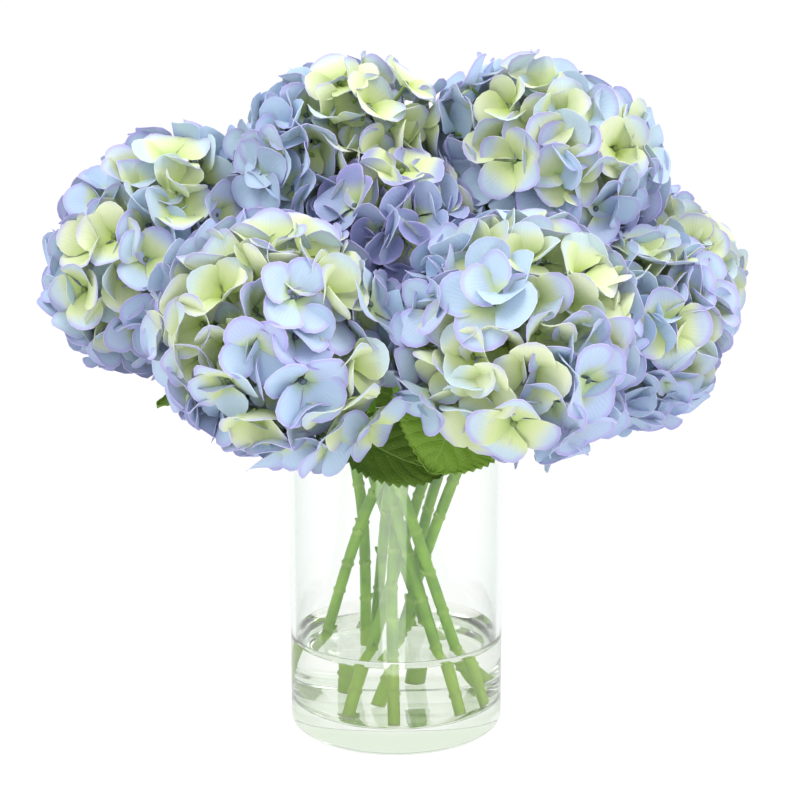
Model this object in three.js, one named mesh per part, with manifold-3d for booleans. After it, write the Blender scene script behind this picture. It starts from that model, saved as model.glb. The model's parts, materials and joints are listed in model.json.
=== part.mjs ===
// A bunch of ten mophead hydrangeas standing in a clear glass cylinder with set clear "water".
// Millimetres, +Z up, origin at the centre of the vase's base, front of the bunch towards -Y.
import * as THREE from "three";
import { mergeVertices } from "three/addons/utils/BufferGeometryUtils.js";
import Module from "manifold-3d";

const wasm = await Module();
wasm.setup();

// Driving dimensions
const VASE_RADIUS = 63.5;
const VASE_HEIGHT = 180;
const WALL = 3;
const FLOOR = 15;
const BASE_CORNER = 5;
const INNER_CORNER = 6;
const LATHE_SIDES = 48;
const WATER_LEVEL = 50;
const MENISCUS_RISE = 6;
const MENISCUS_WIDTH = 9;
const GAP = 0.3;
const SOFT_GAP = 0.5;

const STEM_RADIUS = 3.4;
const STEM_SIDES = 8;
const STEM_STEPS = 16;
const LINE_POINTS = 60;
const STEM_SPACING = 8;
const SETTLING_PASSES = 80;
const WAIST_HEIGHT = 114;
const SHOULDER_HEIGHT = 145;
const RIM_HEIGHT = 182;
const BUNCH_HEIGHT = 140;

const FLORETS = 46;
const PETAL_DEPTH = 11;
const BUMP = 6;
const COVER = THREE.MathUtils.degToRad(124);
const NECK = 0.55;

const LEAF_THICKNESS = 1.2;
const PETIOLE_RADIUS = 1.4;

const GOLDEN_ANGLE = Math.PI * (3 - Math.sqrt(5));
const UP = new THREE.Vector3(0, 0, 1);

// Each head: its centre, its radius to the petal tips, and its stem's places at the vase floor,
// at the waist of the bunch, at the shoulder just below the rim, and at the rim.
const HEADS = [
  { name: "front_left", at: [-66, -82, 243], radius: 70, foot: [46, -20], waist: [14, -24], shoulder: [4, -27], rim: [-11, -36] },
  { name: "front_right", at: [63, -82, 246], radius: 68, foot: [-52, 8], waist: [-24, -6], shoulder: [-13, -14], rim: [10, -31] },
  { name: "right_front", at: [139, -18, 240], radius: 60, foot: [-8, -8], waist: [20, -10], shoulder: [32, -12], rim: [45, -14] },
  { name: "right_back", at: [162, 56, 267], radius: 57, foot: [6, 46], waist: [16, 25], shoulder: [25, 22], rim: [40, 22] },
  { name: "top_right", at: [91, 8, 329], radius: 68, foot: [-25, -38], waist: [6, 4], shoulder: [17, 8], rim: [27, 8] },
  { name: "top_left", at: [-39, 14, 330], radius: 64, foot: [34, -35], waist: [5, -15], shoulder: [-5, -13], rim: [-14, -10] },
  { name: "left", at: [-143, 14, 275], radius: 68, foot: [-19, 20], waist: [-19, 8], shoulder: [-21, 1], rim: [-30, 1] },
  { name: "centre", at: [3, -22, 284], radius: 54, foot: [-16, 36], waist: [-7, 12], shoulder: [-4, 4], rim: [1, -4] },
  { name: "back_right", at: [60, 86, 252], radius: 68, foot: [-1, -54], waist: [-2, -4], shoulder: [5, 16], rim: [14, 34] },
  { name: "back_left", at: [-80, 86, 268], radius: 68, foot: [29, 30], waist: [-4, 22], shoulder: [-14, 17], rim: [-27, 27] },
];

// Each leaf: the stem that carries it and the share of that stem's length where it grows, its midrib
// from the foot of the blade to the tip, its widest half, and the way its upper face looks.
const LEAVES = [
  { stem: "front_left", share: 0.85, midrib: [[-19, -64, 197], [2, -70.5, 177], [29, -71, 167]], half: 21, faces: [0, -1, 0.15] },
  { stem: "front_right", share: 0.93, midrib: [[45, -67, 209], [33, -73, 190], [19, -77, 170]], half: 27, faces: [0, -1, 0.1] },
  { stem: "left", share: 0.78, midrib: [[-66, -9, 200], [-99, -15, 205], [-137, -21, 194]], half: 22, faces: [0, -0.3, 1] },
  { stem: "right_back", share: 0.74, midrib: [[80, 25, 199], [106, 24, 199], [134, 27, 185]], half: 20, faces: [0, 0.1, 1] },
  { stem: "back_right", share: 0.9, midrib: [[20, 66, 197], [-3, 72, 178], [-27, 71, 167]], half: 21, faces: [0, 1, 0.15] },
  { stem: "back_left", share: 0.95, midrib: [[-48.4, 69, 214.4], [-35, 74, 192], [-22, 77, 170]], half: 26, faces: [0, 1, 0.1] },
];

const MATERIALS = {
  glass: new THREE.MeshStandardMaterial({ color: 0xe6f2ef, roughness: 0.05, metalness: 0, transparent: true, opacity: 0.35 }),
  water: new THREE.MeshStandardMaterial({ color: 0xdff0ea, roughness: 0.05, metalness: 0, transparent: true, opacity: 0.5 }),
  stem: new THREE.MeshStandardMaterial({ color: 0x8fb862, roughness: 0.55, metalness: 0 }),
  stalk: new THREE.MeshStandardMaterial({ color: 0x6f8f4a, roughness: 0.7, metalness: 0 }),
  petal: new THREE.MeshStandardMaterial({ color: 0xaebfe0, roughness: 0.8, metalness: 0 }),
  leaf: new THREE.MeshStandardMaterial({ color: 0x4f7a2c, roughness: 0.65, metalness: 0 }),
};

const vector = (p) => new THREE.Vector3(p[0], p[1], p[2]);

// A three.js geometry as a closed solid for joining and cutting.
function solidOf(geometry) {
  const bare = geometry.clone();
  bare.deleteAttribute("normal");
  bare.deleteAttribute("uv");
  const merged = mergeVertices(bare, 1e-3);
  return new wasm.Manifold(
    new wasm.Mesh({
      numProp: 3,
      vertProperties: merged.attributes.position.array,
      triVerts: new Uint32Array(merged.index.array),
    }),
  );
}

// The largest body of a cut solid, so that slivers beside a cut are dropped.
function largest(solid) {
  const bodies = solid.decompose();
  bodies.sort((a, b) => b.volume() - a.volume());
  return bodies[0];
}

function geometryOf(solid) {
  const mesh = solid.getMesh();
  const positions = new Float32Array(mesh.numVert * 3);
  for (let i = 0; i < mesh.numVert; i++) {
    const start = i * mesh.numProp;
    positions.set(mesh.vertProperties.subarray(start, start + 3), i * 3);
  }
  const geometry = new THREE.BufferGeometry();
  geometry.setAttribute("position", new THREE.BufferAttribute(positions, 3));
  geometry.setIndex(new THREE.BufferAttribute(new Uint32Array(mesh.triVerts), 1));
  return geometry;
}

// A named mesh whose own origin is at the given place of the part's frame.
function pieceAt(name, geometry, material, origin) {
  const local = geometry.clone().translate(-origin.x, -origin.y, -origin.z);
  local.computeVertexNormals();
  const mesh = new THREE.Mesh(local, material);
  mesh.name = name;
  mesh.position.copy(origin);
  return mesh;
}

function arcPoints(centreX, centreY, radius, from, to, steps) {
  const points = [];
  for (let i = 0; i <= steps; i++) {
    const angle = from + ((to - from) * i) / steps;
    points.push(new THREE.Vector2(centreX + radius * Math.cos(angle), centreY + radius * Math.sin(angle)));
  }
  return points;
}

function turned(profile) {
  return new THREE.LatheGeometry(profile, LATHE_SIDES).rotateX(Math.PI / 2);
}

// Glass cylinder: a thick floor with a rounded foot, a thin wall and a fire-polished lip.
function vaseGeometry() {
  const inner = VASE_RADIUS - WALL;
  const lip = WALL / 2;
  const quarter = Math.PI / 2;
  const profile = [
    new THREE.Vector2(0, 0),
    ...arcPoints(VASE_RADIUS - BASE_CORNER, BASE_CORNER, BASE_CORNER, -quarter, 0, 3),
    ...arcPoints(VASE_RADIUS - lip, VASE_HEIGHT - lip, lip, 0, Math.PI, 3),
    ...arcPoints(inner - INNER_CORNER, FLOOR + INNER_CORNER, INNER_CORNER, 0, -quarter, 2),
    new THREE.Vector2(0, FLOOR),
  ];
  return turned(profile);
}

// Set clear resin that stands for water: it follows the vase's inside, and its edge climbs the glass.
function waterGeometry() {
  const radius = VASE_RADIUS - WALL - GAP;
  const corner = INNER_CORNER;
  const floor = FLOOR + GAP;
  const profile = [
    new THREE.Vector2(0, floor),
    ...arcPoints(radius - corner, floor + corner, corner, -Math.PI / 2, 0, 2),
  ];
  const steps = 3;
  for (let i = 0; i <= steps; i++) {
    const share = i / steps;
    const rise = MENISCUS_RISE * (1 - share) ** 2;
    profile.push(new THREE.Vector2(radius - MENISCUS_WIDTH * share, WATER_LEVEL + rise));
  }
  profile.push(new THREE.Vector2(0, WATER_LEVEL));
  return turned(profile);
}

// The way a head looks: away from the middle of the bunch.
function headAxis(head) {
  return vector(head.at).sub(new THREE.Vector3(0, 0, BUNCH_HEIGHT)).normalize();
}

function neckOf(head) {
  return vector(head.at).addScaledVector(headAxis(head), -NECK * head.radius);
}

// The line that a stem follows, from its cut foot on the vase floor to the neck of its head.
function stemCurve(head) {
  const waist = new THREE.Vector3(...head.waist, WAIST_HEIGHT);
  const foot = new THREE.Vector3(...head.foot, FLOOR);
  const lean = waist.clone().sub(foot).normalize();
  foot.z += GAP + STEM_RADIUS * Math.sqrt(1 - lean.z * lean.z);
  const neck = neckOf(head);
  const below = neck.clone().addScaledVector(headAxis(head), -12);
  return new THREE.CatmullRomCurve3(
    [
      foot,
      waist,
      new THREE.Vector3(...head.shoulder, SHOULDER_HEIGHT),
      new THREE.Vector3(...head.rim, RIM_HEIGHT),
      below,
      neck,
    ],
    false,
    "centripetal",
  );
}

// Keeps a point of a stem inside the glass, and stems on the vase floor above it.
function keepInVase(point) {
  const limit = VASE_RADIUS - WALL - STEM_RADIUS - 2 * GAP;
  const out = Math.hypot(point.x, point.y);
  if (point.z < VASE_HEIGHT + 5 && out > limit) {
    point.x *= limit / out;
    point.y *= limit / out;
  }
}

// Pushes two stems apart wherever their middle lines come closer than they can lie.
function pushApart(line, other) {
  for (const p of line) {
    for (const q of other) {
      const distance = p.distanceTo(q);
      if (distance < STEM_SPACING) {
        const push = p.clone().sub(q).setZ(0).setLength((STEM_SPACING - distance) / 2);
        p.add(push);
        q.sub(push);
      }
    }
  }
}

// Takes the kinks out of a stem's line; its two ends stay.
function relax(line) {
  for (let i = 1; i < line.length - 1; i++) {
    const middle = line[i - 1].clone().add(line[i + 1]).multiplyScalar(0.5);
    line[i].lerp(middle, 0.35);
  }
}

// The lines of all stems, settled side by side as they press on each other in the vase.
function settledStems() {
  const lines = HEADS.map((head) => stemCurve(head).getSpacedPoints(LINE_POINTS));
  for (let pass = 0; pass < SETTLING_PASSES; pass++) {
    if (pass < SETTLING_PASSES - 10) lines.forEach(relax);
    lines.forEach((line, i) => lines.slice(i + 1).forEach((other) => pushApart(line, other)));
    lines.forEach((line) => line.forEach(keepInVase));
  }
  return lines.map((line) => new THREE.CatmullRomCurve3(line));
}

function tubeGeometry(curve, radius, sides, steps) {
  const section = new THREE.Shape();
  for (let i = 0; i < sides; i++) {
    const angle = (i / sides) * 2 * Math.PI;
    const point = [radius * Math.cos(angle), radius * Math.sin(angle)];
    if (i === 0) section.moveTo(...point);
    else section.lineTo(...point);
  }
  return new THREE.ExtrudeGeometry(section, { steps, bevelEnabled: false, extrudePath: curve });
}

// Directions spread evenly over the part of a sphere that the florets cover, about +Z.
function floretDirections() {
  const directions = [];
  for (let i = 0; i < FLORETS; i++) {
    const z = 1 - ((i + 0.5) / FLORETS) * (1 - Math.cos(COVER));
    const ring = Math.sqrt(1 - z * z);
    const turn = i * GOLDEN_ANGLE;
    directions.push(new THREE.Vector3(ring * Math.cos(turn), ring * Math.sin(turn), z));
  }
  return directions;
}

const FLORET_DIRECTIONS = floretDirections();
const FLORET_SPREAD = Math.sqrt((2 * (1 - Math.cos(COVER))) / FLORETS) * 0.9;

// The outer shape of a head about the origin: a ball with one low bump for each floret.
function bumpyBall(radius) {
  const geometry = new THREE.IcosahedronGeometry(1, 5);
  const positions = geometry.getAttribute("position");
  const direction = new THREE.Vector3();
  for (let i = 0; i < positions.count; i++) {
    direction.fromBufferAttribute(positions, i).normalize();
    const nearest = Math.min(...FLORET_DIRECTIONS.map((floret) => floret.angleTo(direction)));
    const dip = Math.min(1, (nearest / FLORET_SPREAD) ** 2);
    direction.multiplyScalar(radius - BUMP * dip);
    positions.setXYZ(i, direction.x, direction.y, direction.z);
  }
  return geometry;
}

// Turns a geometry made about +Z so that it stands about the head's axis, at the head's centre.
function aimed(geometry, head) {
  const turn = new THREE.Quaternion().setFromUnitVectors(UP, headAxis(head));
  return geometry.applyQuaternion(turn).translate(...head.at);
}

// The hollow under the florets, where the stalks spread: a ball that opens downwards as a cone.
function hollowSolid(head, radius) {
  const ball = new THREE.IcosahedronGeometry(radius, 1);
  const depth = head.radius * 1.25;
  const cone = new THREE.ConeGeometry(depth * Math.tan(Math.PI - COVER), depth, 18);
  cone.rotateX(Math.PI / 2).translate(0, 0, -depth / 2);
  return { ball: solidOf(aimed(ball, head)), cone: solidOf(aimed(cone, head)) };
}

// A block that fills everything beyond the plane where two heads press against each other.
function beyond(head, other, gap) {
  const from = vector(head.at);
  const along = vector(other.at).sub(from);
  const distance = along.length();
  along.normalize();
  const share = (distance ** 2 + head.radius ** 2 - other.radius ** 2) / (2 * distance);
  const size = 400;
  const block = new THREE.BoxGeometry(size, size, size);
  block.translate(0, 0, size / 2 + share - gap / 2);
  block.applyQuaternion(new THREE.Quaternion().setFromUnitVectors(UP, along));
  return solidOf(block.translate(...head.at));
}

function touches(head, other) {
  const distance = vector(head.at).distanceTo(vector(other.at));
  return head !== other && distance < head.radius + other.radius;
}

function cutByNeighbours(solid, head, gap) {
  return HEADS.filter((other) => touches(head, other)).reduce(
    (cut, other) => cut.subtract(beyond(head, other, gap)),
    solid,
  );
}

// The florets of one head as one hollow cap.
function floretsSolid(head, obstacles) {
  const hollow = hollowSolid(head, head.radius - PETAL_DEPTH);
  const outer = solidOf(aimed(bumpyBall(head.radius), head));
  const cap = outer.subtract(hollow.ball).subtract(hollow.cone);
  return largest(cutByNeighbours(cap, head, SOFT_GAP).subtract(obstacles));
}

// A tapered rod between two points.
function rod(from, to, startRadius, endRadius, sides) {
  const along = to.clone().sub(from);
  const geometry = new THREE.CylinderGeometry(endRadius, startRadius, along.length(), sides);
  geometry.translate(0, along.length() / 2, 0);
  const turn = new THREE.Quaternion().setFromUnitVectors(
    new THREE.Vector3(0, 1, 0),
    along.clone().normalize(),
  );
  return solidOf(geometry.applyQuaternion(turn).translate(from.x, from.y, from.z));
}

// The branching stalks inside one head: a hub on the stem's end and rods that reach the florets.
function stalksSolid(head, obstacles) {
  const axis = headAxis(head);
  const start = neckOf(head);
  const fork = neckOf(head).addScaledVector(axis, 11);
  let spray = rod(start, fork, STEM_RADIUS, 4.4, STEM_SIDES);
  const reach = head.radius * 1.7;
  const rings = [
    { count: 1, tilt: 0 },
    { count: 6, tilt: 52 },
  ];
  const root = neckOf(head).addScaledVector(axis, 7);
  let branches = null;
  for (const ring of rings) {
    for (let i = 0; i < ring.count; i++) {
      const tilt = THREE.MathUtils.degToRad(ring.tilt);
      const turn = ((i + ring.tilt / 60) / ring.count) * 2 * Math.PI;
      const way = new THREE.Vector3(Math.sin(tilt) * Math.cos(turn), Math.sin(tilt) * Math.sin(turn), Math.cos(tilt));
      way.applyQuaternion(new THREE.Quaternion().setFromUnitVectors(UP, axis));
      const branch = rod(root, root.clone().addScaledVector(way, reach), 1.6, 1, 4);
      branches = branches ? branches.add(branch) : branch;
    }
  }
  const inside = hollowSolid(head, head.radius - PETAL_DEPTH - GAP).ball;
  spray = spray.add(branches.intersect(inside));
  return largest(cutByNeighbours(spray, head, 2 * SOFT_GAP).subtract(obstacles));
}

// A leaf with its short stalk: a thin blade on a bent midrib, folded a little along it.
function leafSolid(leaf, stemLine, extra) {
  const midrib = new THREE.CatmullRomCurve3(leaf.midrib.map(vector));
  const face = vector(leaf.faces).normalize();
  const thickness = LEAF_THICKNESS + 2 * extra;
  const blade = new THREE.BoxGeometry(2, 1, 1, 2, 8, 1);
  const positions = blade.getAttribute("position");
  for (let i = 0; i < positions.count; i++) {
    const along = positions.getY(i) + 0.5;
    const across = positions.getX(i);
    const point = midrib.getPoint(along);
    const side = midrib.getTangent(along).cross(face).normalize();
    const width = extra + 0.8 + leaf.half * Math.sin(Math.PI * along ** 0.75) ** 0.8;
    const fold = 0.14 * leaf.half * across * across;
    point.addScaledVector(side, across * width);
    point.addScaledVector(face, fold + positions.getZ(i) * thickness);
    positions.setXYZ(i, point.x, point.y, point.z);
  }
  const seat = stemLine.getPointAt(leaf.share);
  const tangent = stemLine.getTangentAt(leaf.share);
  const base = midrib.getPoint(0.06);
  const way = base.clone().sub(seat).normalize();
  const out = way.clone().addScaledVector(tangent, -way.dot(tangent)).normalize();
  const lean = Math.sqrt(1 - way.dot(out) ** 2);
  const reach = STEM_RADIUS + GAP + PETIOLE_RADIUS * lean - extra;
  const start = seat.clone().addScaledVector(out, reach);
  const petiole = rod(start, base, PETIOLE_RADIUS + extra, PETIOLE_RADIUS + extra, 6);
  return solidOf(blade).add(petiole);
}

const bouquet = new THREE.Group();
const settled = settledStems();
const lines = new Map(HEADS.map((head, i) => [head.name, settled[i]]));

// One stem, or with extra the room that is kept free around it and past its two ends.
function stemSolid(head, extra) {
  const line = lines.get(head.name);
  const points = [...line.points];
  if (extra > 0) {
    points.unshift(line.getTangent(0).multiplyScalar(-extra).add(points[0]));
    points.push(line.getTangent(1).multiplyScalar(extra).add(points.at(-1)));
  }
  const curve = new THREE.CatmullRomCurve3(points);
  return solidOf(tubeGeometry(curve, STEM_RADIUS + extra, STEM_SIDES, STEM_STEPS));
}

const fatStems = HEADS.map((head) => stemSolid(head, SOFT_GAP)).reduce((a, b) => a.add(b));
const fatLeaves = LEAVES.map((leaf) => leafSolid(leaf, lines.get(leaf.stem), SOFT_GAP)).reduce((a, b) => a.add(b));
const mouth = solidOf(
  new THREE.CylinderGeometry(VASE_RADIUS + SOFT_GAP, VASE_RADIUS + SOFT_GAP, VASE_HEIGHT + SOFT_GAP, LATHE_SIDES)
    .rotateX(Math.PI / 2)
    .translate(0, 0, (VASE_HEIGHT + SOFT_GAP) / 2),
);

bouquet.add(pieceAt("vase", vaseGeometry(), MATERIALS.glass, new THREE.Vector3(0, 0, 0)));

const water = largest(solidOf(waterGeometry()).subtract(fatStems));
bouquet.add(pieceAt("set_water", geometryOf(water), MATERIALS.water, new THREE.Vector3(0, 0, FLOOR)));

for (const head of HEADS) {
  const centre = vector(head.at);
  const stem = geometryOf(stemSolid(head, 0));
  bouquet.add(pieceAt("stem_" + head.name, stem, MATERIALS.stem, lines.get(head.name).getPoint(0)));

  const stalks = geometryOf(stalksSolid(head, fatLeaves.add(fatStems)));
  bouquet.add(pieceAt("stalks_" + head.name, stalks, MATERIALS.stalk, neckOf(head)));

  const obstacles = fatStems.add(fatLeaves).add(mouth);
  const florets = geometryOf(floretsSolid(head, obstacles));
  bouquet.add(pieceAt("florets_" + head.name, florets, MATERIALS.petal, centre));
}

LEAVES.forEach((leaf, index) => {
  const geometry = geometryOf(leafSolid(leaf, lines.get(leaf.stem), 0));
  bouquet.add(pieceAt("leaf_" + (index + 1), geometry, MATERIALS.leaf, vector(leaf.midrib[0])));
});

export default bouquet;
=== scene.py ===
# %% [markdown]
# # Hydrangeas in a vase
# A full bunch of mophead hydrangeas stands in a clear glass cylinder. The petals are dyed cloth, the stems
# are moulded rods with ring joints, and clear set resin stands in for water. The packed frame gives every
# piece its place. This lesson builds the looks on it: cloth petals by the hundred, stalks, toothed leaves,
# glass and water.

# %% Frame and tools
import json
import math
import random

import bpy
import numpy as np
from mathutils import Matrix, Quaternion, Vector
from mathutils.bvhtree import BVHTree

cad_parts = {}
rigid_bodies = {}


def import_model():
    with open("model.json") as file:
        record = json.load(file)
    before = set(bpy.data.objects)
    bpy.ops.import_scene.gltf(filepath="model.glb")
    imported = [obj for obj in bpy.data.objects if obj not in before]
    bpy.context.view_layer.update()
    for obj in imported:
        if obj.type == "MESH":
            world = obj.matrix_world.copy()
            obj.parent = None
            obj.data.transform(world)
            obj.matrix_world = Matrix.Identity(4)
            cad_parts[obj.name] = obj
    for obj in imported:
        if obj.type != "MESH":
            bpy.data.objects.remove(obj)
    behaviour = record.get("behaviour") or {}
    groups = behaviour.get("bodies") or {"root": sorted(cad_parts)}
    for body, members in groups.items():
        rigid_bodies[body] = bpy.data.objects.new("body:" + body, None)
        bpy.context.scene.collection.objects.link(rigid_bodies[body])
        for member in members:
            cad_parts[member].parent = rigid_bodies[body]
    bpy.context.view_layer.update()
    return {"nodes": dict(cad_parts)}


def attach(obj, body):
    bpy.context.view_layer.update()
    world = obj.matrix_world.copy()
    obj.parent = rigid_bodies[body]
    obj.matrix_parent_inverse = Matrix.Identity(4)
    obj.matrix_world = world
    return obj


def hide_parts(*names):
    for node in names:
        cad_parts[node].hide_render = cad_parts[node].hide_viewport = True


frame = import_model()
MM = 0.001
UP = Vector((0, 0, 1))
print("frame nodes:", len(frame["nodes"]))

# %% [markdown]
# The camera comes first, so that every later look is judged from the place where the bunch was seen. It
# stands 850 mm in front of the vase's middle, a little above the heads' lower edge, and looks down about ten
# degrees.

# %% Camera
FILM_WIDTH = 36
LENS = 66.1
VIEW_FROM = (0.0023, -0.850, 0.3432)
VIEW_DOWN = 9.88

view_data = bpy.data.cameras.new("view")
view_data.sensor_width = FILM_WIDTH
view_data.lens = LENS
view_data.clip_start = 0.01
view_data.clip_end = 50
camera = bpy.data.objects.new("view", view_data)
camera.location = VIEW_FROM
camera.rotation_euler = (math.radians(90 - VIEW_DOWN), 0, 0)
bpy.context.collection.objects.link(camera)
bpy.context.scene.camera = camera
print("camera height in mm:", round(camera.location.z / MM))

# %% [markdown]
# The bunch is described by ten heads. Each has the centre and the radius of its ball of petals, in
# millimetres, as in the frame. `pale` lists the places, seen from the head's centre, where its florets stay
# cream and green, each as a direction and an angle in degrees; the other florets have turned blue. The
# violet number says how far the blue leans towards violet, and above 0.55 it also darkens the blue: painted
# shade, which only the centre head gets, deep between the others. `bulges` make the ball fuller, or flatter,
# on one side, in millimetres. All heads look away from one point on the vase's axis, at `FAN_HEIGHT`.
# `COVER` is how far round its head the florets reach from the head's top, and `NECK` is how far below its
# centre, in radii, the stem ends.

# %% The heads
HEADS = [
    {"name": "front_left", "at": (-66, -82, 243), "radius": 70, "violet": 0.35,
     "bulges": [(0.5, -0.4, -0.75, 5), (0.85, -0.1, -0.5, 10), (-0.6, 0, -0.8, -7)],
     "pale": [(-0.61, -0.76, 0.23, 26), (0.51, -0.44, 0.74, 22), (0.69, -0.62, -0.37, 15),
              (-0.19, -0.52, 0.83, 17), (-0.04, -0.81, -0.58, 10)]},
    {"name": "front_right", "at": (63, -82, 246), "radius": 68, "violet": 0.3,
     "bulges": [(0.5, -0.4, -0.75, 9), (-0.85, -0.1, -0.5, 9)],
     "pale": [(-0.16, -0.39, 0.91, 20), (0.65, -0.5, 0.57, 26), (-0.35, -0.91, -0.22, 28),
              (-0.55, -0.84, 0.04, 14), (0.19, -0.97, 0.18, 12)]},
    {"name": "right_front", "at": (139, -18, 240), "radius": 60, "violet": 0.35,
     "bulges": [(-0.3, -0.3, -0.9, 7), (0.75, 0, -0.65, -10)],
     "pale": [(0.57, -0.82, -0.02, 20), (-0.1, -0.6, 0.8, 14), (0.8, 0.5, 0.2, 20)]},
    {"name": "right_back", "at": (162, 56, 267), "radius": 57, "violet": 0.1,
     "bulges": [(0.7, 0, 0.7, -16)],
     "pale": [(0.45, -0.56, 0.7, 44), (0.78, -0.24, -0.58, 24), (0.9, -0.4, -0.1, 18), (0.3, 0.9, 0.3, 20)]},
    {"name": "top_right", "at": (91, 8, 329), "radius": 68, "violet": 0.35,
     "bulges": [(-0.85, 0, 0.5, 16), (0.35, 0, 0.94, -13)],
     "pale": [(-0.37, -0.72, 0.59, 26), (0.61, -0.65, 0.45, 18),
              (0.18, -0.98, -0.01, 10), (0.3, 0.7, 0.6, 22)]},
    {"name": "top_left", "at": (-39, 14, 330), "radius": 64, "violet": 0.05,
     "bulges": [(0.85, 0, 0.5, 18), (-0.5, 0, 0.85, -6)],
     "pale": [(0.51, -0.72, 0.47, 38), (0.19, -0.5, 0.85, 14), (0.6, -0.78, -0.1, 22), (-0.3, 0.7, 0.6, 22)]},
    {"name": "left", "at": (-143, 14, 275), "radius": 68, "violet": 0.3,
     "bulges": [(0.65, 0, 0.76, 23), (-0.9, 0, 0.4, -6), (-0.55, 0, -0.83, 6)],
     "pale": [(0.28, -0.57, 0.78, 14), (-0.33, -0.92, 0.22, 21),
              (-0.5, -0.73, -0.47, 14), (-0.4, 0.8, 0.3, 22)]},
    # The centre head's high violet number also darkens its blue: painted shade, deep between the heads.
    {"name": "centre", "at": (3, -22, 284), "radius": 54, "violet": 0.9,
     "bulges": [(-0.35, -0.6, 0.7, 11)],
     "pale": [(0.6, -0.2, 0.75, 10), (-0.2, -0.45, 0.87, 18)]},
    {"name": "back_right", "at": (60, 86, 252), "radius": 68, "violet": 0.4,
     "bulges": [],
     "pale": [(0.3, 0.8, 0.5, 24), (-0.6, 0.7, -0.2, 20)]},
    {"name": "back_left", "at": (-80, 86, 268), "radius": 68, "violet": 0.3,
     "bulges": [],
     "pale": [(-0.3, 0.7, 0.6, 26), (0.5, 0.8, -0.3, 18)]},
]
FAN_HEIGHT = 140
COVER = math.radians(138)
NECK = 0.55


def centre_of(head):
    return Vector(head["at"]) * MM


def axis_of(head):
    return (Vector(head["at"]) - Vector((0, 0, FAN_HEIGHT))).normalized()


def neck_of(head):
    return centre_of(head) - axis_of(head) * head["radius"] * NECK * MM


def reach_of(head, way):
    """The ball's radius in mm on one side, with the bulges that the head has there."""
    reach = head["radius"]
    for *side, more in head["bulges"]:
        reach += more * max(0.0, way.dot(Vector(side).normalized())) ** 3
    return reach


print("heads:", len(HEADS))

# %% [markdown]
# Shader maths reads best as plain sums. `Wire` wraps one output of a node, and a sum or a product on it adds
# the Math node that does the same. A sum may also start with a number, as in `1.0 - wire`.

# %% Sums on wires
def feed(tree, socket, value):
    if isinstance(value, Wire):
        tree.links.new(value.socket, socket)
    elif isinstance(value, (tuple, list)) and len(value) == 3 and socket.type == "RGBA":
        socket.default_value = (*value, 1)
    else:
        socket.default_value = value


class Wire:
    """One output of a shader node, on which plain sums add Math nodes."""

    def __init__(self, tree, socket):
        self.tree = tree
        self.socket = socket

    def _math(self, operation, *values):
        node = self.tree.nodes.new("ShaderNodeMath")
        node.operation = operation
        for socket, value in zip(node.inputs, values):
            feed(self.tree, socket, value)
        return Wire(self.tree, node.outputs[0])

    def __add__(self, other):
        return self._math("ADD", self, other)

    def __sub__(self, other):
        return self._math("SUBTRACT", self, other)

    def __rsub__(self, other):
        return self._math("SUBTRACT", other, self)

    def __mul__(self, other):
        return self._math("MULTIPLY", self, other)

    __radd__ = __add__
    __rmul__ = __mul__


print("sums on a wire:", [word.strip("_") for word in vars(Wire) if word in ("__add__", "__sub__", "__mul__")])

# %% [markdown]
# `Finish` holds one material. Its method `node` makes any node: the node's settings come first, then the
# values or wires for its inputs. The short methods after it are the nodes that this lesson needs again and
# again. Dyes are given as a screen shows them, and `dye` turns them into the light values that a shader
# needs.

# %% Finishes and dyes
class Finish:
    """One material and the nodes in it."""

    def __init__(self, name):
        self.material = bpy.data.materials.new(name)
        self.material.use_nodes = True
        self.tree = self.material.node_tree
        self.shader = self.tree.nodes["Principled BSDF"]
        self.output = self.tree.nodes["Material Output"]

    def node(self, kind, settings=None, inputs=None, output=0):
        made = self.tree.nodes.new(kind)
        for key, value in (settings or {}).items():
            setattr(made, key, value)
        for key, value in (inputs or {}).items():
            feed(self.tree, made.inputs[key], value)
        return Wire(self.tree, made.outputs[output])

    def surface(self, **inputs):
        for key, value in inputs.items():
            feed(self.tree, self.shader.inputs[key.replace("_", " ")], value)

    def attribute(self, name):
        return self.node("ShaderNodeAttribute", {"attribute_name": name}, output=2)

    def places(self):
        return self.node("ShaderNodeTexCoord", output=3)

    def part(self, vector, index):
        """One number of a place: 0 for x, 1 for y, 2 for z."""
        return self.node("ShaderNodeSeparateXYZ", inputs={0: vector}, output=index)

    def height(self):
        return self.part(self.places(), 2)

    def on_sheet(self):
        """How far across and how far along a petal or a leaf a point lies, each from 0 to 1."""
        place = self.node("ShaderNodeUVMap", {"uv_map": "place"})
        return self.part(place, 0), self.part(place, 1)

    def noise(self, scale, detail=2.0):
        inputs = {"Vector": self.places(), "Scale": scale, "Detail": detail}
        return self.node("ShaderNodeTexNoise", inputs=inputs)

    def mix(self, share, first, second):
        inputs = {0: share, 6: first, 7: second}
        return self.node("ShaderNodeMix", {"data_type": "RGBA"}, inputs, output=2)

    def between(self, value, low, high, start=0.0, end=1.0):
        settings = {"interpolation_type": "SMOOTHSTEP"}
        return self.node("ShaderNodeMapRange", settings, {0: value, 1: low, 2: high, 3: start, 4: end})

    def maths(self, operation, *values):
        return self.node("ShaderNodeMath", {"operation": operation}, dict(enumerate(values)))

    def bump(self, height, distance, strength=0.5):
        inputs = {"Height": height, "Distance": distance, "Strength": strength}
        return self.node("ShaderNodeBump", inputs=inputs)

    def let_through(self, share, colour):
        """Lets a share of the light through, so that thin cloth glows on its far side."""
        thin = self.node("ShaderNodeBsdfTranslucent", inputs={"Color": colour})
        whole = Wire(self.tree, self.shader.outputs[0])
        both = self.node("ShaderNodeMixShader", inputs={0: share, 1: whole, 2: thin})
        self.tree.links.new(both.socket, self.output.inputs["Surface"])


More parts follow.
